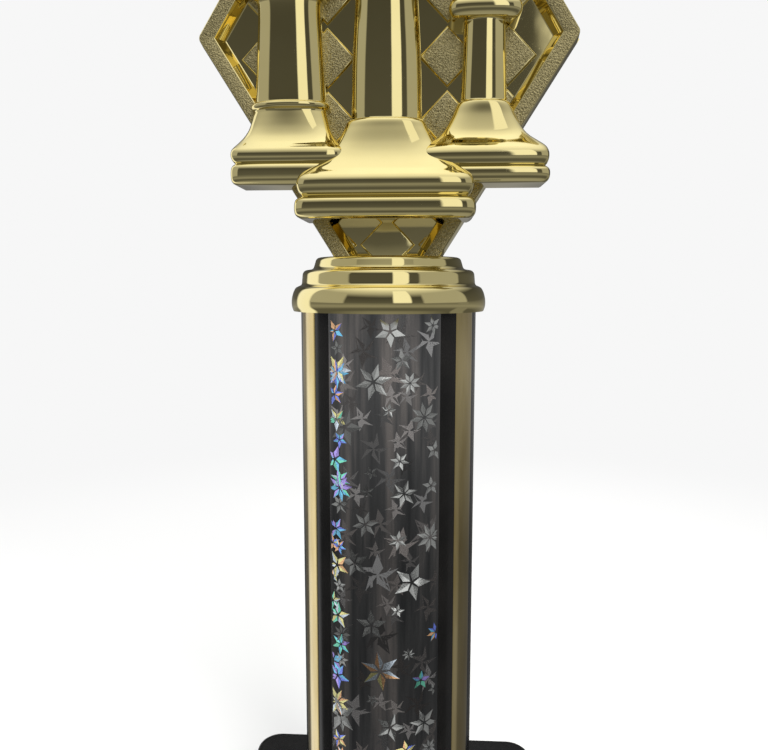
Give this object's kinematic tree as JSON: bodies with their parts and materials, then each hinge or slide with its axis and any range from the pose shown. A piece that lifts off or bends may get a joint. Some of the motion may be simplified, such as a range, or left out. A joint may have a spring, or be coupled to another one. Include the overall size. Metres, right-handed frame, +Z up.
{
  "type": "chess trophy",
  "caption": "Chess trophy: rook, king and pawn before a hexagonal checker board, on a round star-film column with a stepped cap and a black rounded base.",
  "frame": {"origin": "on the floor under the middle of the base, on the rod's axis", "axes": "+Z up along the rod, the front with the chessmen and the plate faces -Y, +X to the viewer's right"},
  "size_m": [0.1172, 0.0906, 0.3649],
  "materials": {
    "polished_gold": "vacuum metallised mirror gold",
    "grained_gold": "vacuum metallised gold over a fine grain",
    "gold_foil": "satin hot stamped gold foil",
    "star_film": "glossy prismatic film with stars",
    "column_black": "glossy black",
    "base_black": "semi gloss black",
    "ballast": "cast mix",
    "pad": "fine foam",
    "plate_brass": "brushed, blank",
    "zinc_steel": "bright zinc",
    "locator_plastic": "plain moulded",
    "insert_brass": "turned"
  },
  "bodies": {
    "base": {"base_shell": "base_black", "base_weight": "ballast", "base_pad": "pad", "engraving_plate": "plate_brass", "check_rod": "zinc_steel", "flat_washer": "zinc_steel", "lock_washer": "zinc_steel"},
    "nut": {"hex_nut": "zinc_steel"},
    "column": {"column_tube": "column_black", "star_film_front": "star_film", "star_film_rear": "star_film", "gold_stripe_front_left": "gold_foil", "gold_stripe_front_right": "gold_foil", "gold_stripe_rear_left": "gold_foil", "gold_stripe_rear_right": "gold_foil", "column_locator": "locator_plastic", "column_cap": "polished_gold"},
    "figure": {"board_frame": "grained_gold", "checker_panel": "polished_gold", "rear_cover": "polished_gold", "figure_foot": "polished_gold", "threaded_insert": "insert_brass", "rook": "polished_gold", "king": "polished_gold", "pawn": "polished_gold"}
  },
  "joints": [
    {"name": "nut_turn", "type": "hinge", "parent": "base", "child": "nut", "pos_m": [0, 0, 0.007], "axis": [0, 0, 1], "continuous": true},
    {"name": "column_turn", "type": "hinge", "parent": "base", "child": "column", "pos_m": [0, 0, 0.027], "axis": [0, 0, 1], "continuous": true},
    {"name": "figure_turn", "type": "hinge", "parent": "base", "child": "figure", "pos_m": [0, 0, 0.2221], "axis": [0, 0, 1], "continuous": true}
  ]
}
